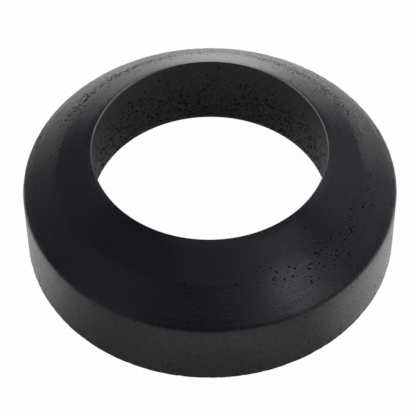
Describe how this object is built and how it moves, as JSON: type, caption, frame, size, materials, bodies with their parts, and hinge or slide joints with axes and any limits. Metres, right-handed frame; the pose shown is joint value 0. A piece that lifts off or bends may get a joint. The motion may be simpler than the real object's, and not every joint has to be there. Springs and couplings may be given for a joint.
{
  "type": "doughnut cistern washer",
  "caption": "Thick black rubber ring with a conical top and a recessed base, which seals a close-coupled cistern to its pan.",
  "frame": {"origin": "on the axis, in the plane of the base ring that the washer rests on", "axes": "+Z along the axis, from the flat base towards the rim of the cone; X and Y are equal, because the ring is turned about Z"},
  "size_m": [0.09, 0.09, 0.0305],
  "materials": {
    "rubber": "black moulded rubber with a satin skin and fine pores"
  },
  "bodies": {
    "root": {"doughnut_washer": "rubber"}
  },
  "joints": []
}
